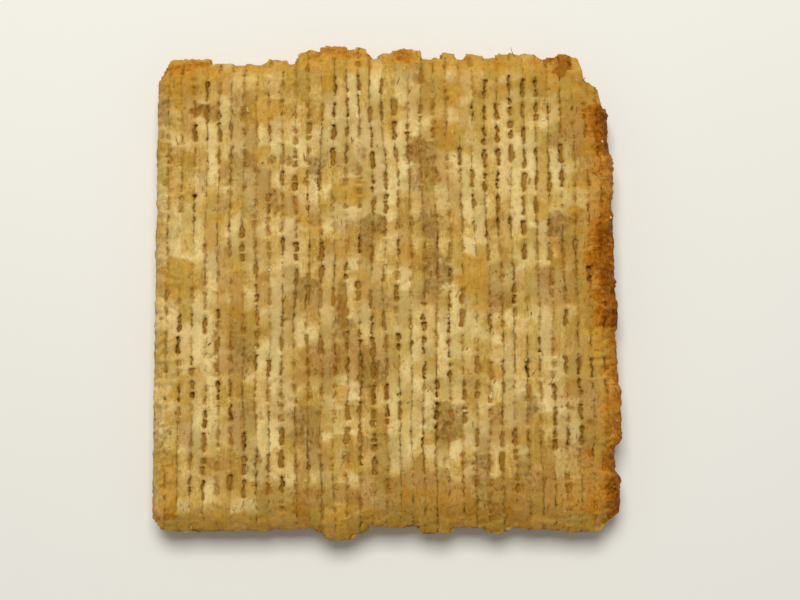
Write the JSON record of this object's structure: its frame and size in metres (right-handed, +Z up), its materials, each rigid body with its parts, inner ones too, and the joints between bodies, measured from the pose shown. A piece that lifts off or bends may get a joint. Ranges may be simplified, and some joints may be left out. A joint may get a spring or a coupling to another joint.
{
  "type": "woven wheat cracker",
  "caption": "Square baked snack cracker woven from wheat strands, with rows of small slots, pinched edges and uneven flaps of dough along its cut ends.",
  "frame": {"origin": "under the middle of the cracker, on the surface it lies on", "axes": "+Z up out of the shown face, +Y along the strands towards the end away from the viewer, +X to the viewer's right"},
  "size_m": [0.0466, 0.0498, 0.0052],
  "materials": {
    "baked_wheat": "dry baked wheat crust with a faint oily sheen: straw and golden strands, browner in the slots, toasted along the edges"
  },
  "bodies": {
    "root": {"cracker": "baked_wheat"}
  },
  "joints": []
}
